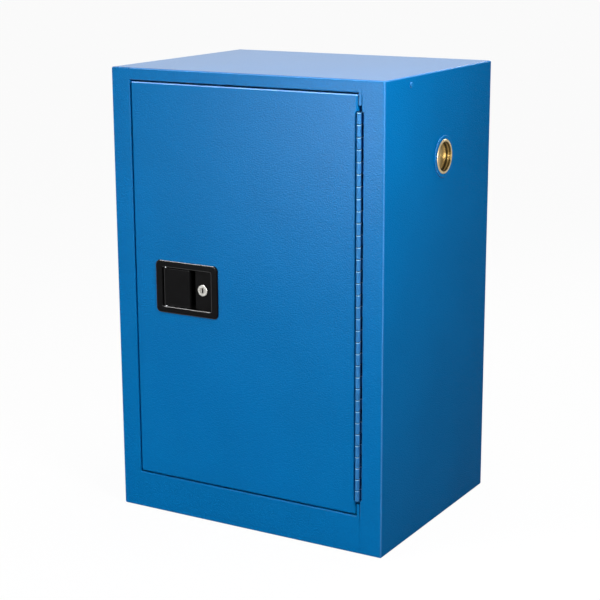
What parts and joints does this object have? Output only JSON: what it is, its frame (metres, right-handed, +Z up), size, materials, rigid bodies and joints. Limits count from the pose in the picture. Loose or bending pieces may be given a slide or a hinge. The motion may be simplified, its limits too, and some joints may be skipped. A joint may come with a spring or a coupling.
{
  "type": "acid storage cabinet",
  "caption": "Blue double-walled steel safety cabinet with a full-height hinged door, flush paddle latch with key lock, side vent plugs, tray shelf and spill sump.",
  "frame": {"origin": "on the floor under the middle of the cabinet's outline", "axes": "+Z up, -Y out of the door's face, +X to the right of someone facing the door"},
  "size_m": [0.5966, 0.466, 0.89],
  "materials": {
    "powder_coat": "semi-gloss",
    "bare_steel": "zinc plated",
    "mesh": "stainless mesh",
    "latch_black": "semi-gloss",
    "nickel": "nickel plated",
    "brass": "turned",
    "tray_plastic": "polyethylene",
    "nylon": "natural nylon",
    "foot_black": "matt"
  },
  "bodies": {
    "cabinet": {"left_side_panel": "powder_coat", "right_side_panel": "powder_coat", "top_panel": "powder_coat", "sill_rail": "powder_coat", "back_panel": "powder_coat", "bottom_panel": "powder_coat", "foot_nuts": "bare_steel", "sump_supports": "bare_steel", "sump_pan": "powder_coat", "liner_left": "powder_coat", "liner_right": "powder_coat", "liner_back": "powder_coat", "liner_top": "powder_coat", "door_stop_frame": "powder_coat", "shelf_standards": "bare_steel", "shelf_clips": "bare_steel", "vent_sleeve_right": "powder_coat", "vent_sleeve_left": "powder_coat", "vent_arrester_right": "mesh", "vent_arrester_left": "mesh", "ground_screw": "powder_coat", "ground_nut": "bare_steel", "hinge_frame_leaf": "powder_coat", "hinge_pin": "powder_coat", "strike_plates": "bare_steel"},
    "door": {"door_outer_skin": "powder_coat", "door_inner_skin": "powder_coat", "door_stiffeners": "bare_steel", "hinge_door_leaf": "powder_coat", "latch_housing": "latch_black", "latch_clamp": "bare_steel", "latch_nuts": "bare_steel", "paddle_pin": "bare_steel", "latch_spring": "bare_steel", "crank_pivot": "bare_steel", "rod_bushes": "nylon", "rod_guides": "bare_steel", "lock_cylinder": "nickel", "lock_nut": "bare_steel", "latch_cover": "powder_coat", "cover_screws": "bare_steel"},
    "paddle": {"paddle": "latch_black"},
    "bolt": {"latch_bolt": "bare_steel"},
    "crank": {"latch_crank": "bare_steel"},
    "upper_rod": {"upper_rod": "bare_steel"},
    "lower_rod": {"lower_rod": "bare_steel"},
    "key_plug": {"lock_plug": "nickel", "lock_cam": "bare_steel", "cam_screw": "bare_steel"},
    "shelf": {"shelf": "powder_coat"},
    "shelf_tray": {"shelf_tray": "tray_plastic"},
    "sump_tray": {"sump_tray": "tray_plastic"},
    "vent_plug_right": {"vent_plug_right": "brass"},
    "vent_plug_left": {"vent_plug_left": "brass"},
    "foot_front_left": {"foot_front_left": "foot_black"},
    "foot_front_right": {"foot_front_right": "foot_black"},
    "foot_back_left": {"foot_back_left": "foot_black"},
    "foot_back_right": {"foot_back_right": "foot_black"}
  },
  "joints": [
    {"name": "door_hinge", "type": "hinge", "parent": "cabinet", "child": "door", "pos_m": [0.245, -0.232, 0.471], "axis": [0, 0, 1], "range_deg": [0, 170]},
    {"name": "paddle_swing", "type": "hinge", "parent": "door", "child": "paddle", "pos_m": [-0.1798, -0.228, 0.4705], "axis": [0, 0, -1], "range_deg": [0, 35], "stiffness_Nm_per_rad": 0.8, "springref_deg": -8.59},
    {"name": "bolt_slide", "type": "slide", "parent": "door", "child": "bolt", "axis": [1, 0, 0], "range_m": [0, 0.0125], "deforming": ["latch_spring"]},
    {"name": "crank_turn", "type": "hinge", "parent": "door", "child": "crank", "pos_m": [-0.1488, -0.2035, 0.4705], "axis": [0, 1, 0], "range_deg": [0, 45.1]},
    {"name": "upper_rod_slide", "type": "slide", "parent": "door", "child": "upper_rod", "axis": [0, 0, -1], "range_m": [0, 0.0138]},
    {"name": "lower_rod_slide", "type": "slide", "parent": "door", "child": "lower_rod", "axis": [0, 0, 1], "range_m": [0, 0.0138]},
    {"name": "key_turn", "type": "hinge", "parent": "door", "child": "key_plug", "pos_m": [-0.09632, -0.22, 0.4705], "axis": [0, -1, 0], "range_deg": [-90, 0]},
    {"name": "shelf_lift", "type": "slide", "parent": "cabinet", "child": "shelf", "axis": [0, 0, 1], "range_m": [0, 0.06]},
    {"name": "shelf_tray_lift", "type": "slide", "parent": "shelf", "child": "shelf_tray", "axis": [0, 0, 1], "range_m": [0, 0.1]},
    {"name": "sump_tray_lift", "type": "slide", "parent": "cabinet", "child": "sump_tray", "axis": [0, 0, 1], "range_m": [0, 0.02]},
    {"name": "vent_plug_right_turn", "type": "hinge", "parent": "cabinet", "child": "vent_plug_right", "pos_m": [0.29, 0.013, 0.727], "axis": [1, 0, 0], "continuous": true},
    {"name": "vent_plug_left_turn", "type": "hinge", "parent": "cabinet", "child": "vent_plug_left", "pos_m": [-0.29, 0.013, 0.19], "axis": [-1, 0, 0], "continuous": true},
    {"name": "foot_front_left_turn", "type": "hinge", "parent": "cabinet", "child": "foot_front_left", "pos_m": [-0.215, -0.16, 0.02], "axis": [0, 0, 1], "continuous": true},
    {"name": "foot_front_right_turn", "type": "hinge", "parent": "cabinet", "child": "foot_front_right", "pos_m": [0.215, -0.16, 0.02], "axis": [0, 0, 1], "continuous": true},
    {"name": "foot_back_left_turn", "type": "hinge", "parent": "cabinet", "child": "foot_back_left", "pos_m": [-0.215, 0.16, 0.02], "axis": [0, 0, 1], "continuous": true},
    {"name": "foot_back_right_turn", "type": "hinge", "parent": "cabinet", "child": "foot_back_right", "pos_m": [0.215, 0.16, 0.02], "axis": [0, 0, 1], "continuous": true}
  ],
  "couplings": [
    {"joint": "bolt_slide", "follows": "paddle_swing", "m_per_rad": 0.02044},
    {"joint": "crank_turn", "follows": "paddle_swing", "ratio": 1.2857},
    {"joint": "upper_rod_slide", "follows": "paddle_swing", "m_per_rad": 0.022553},
    {"joint": "lower_rod_slide", "follows": "paddle_swing", "m_per_rad": 0.022553}
  ]
}
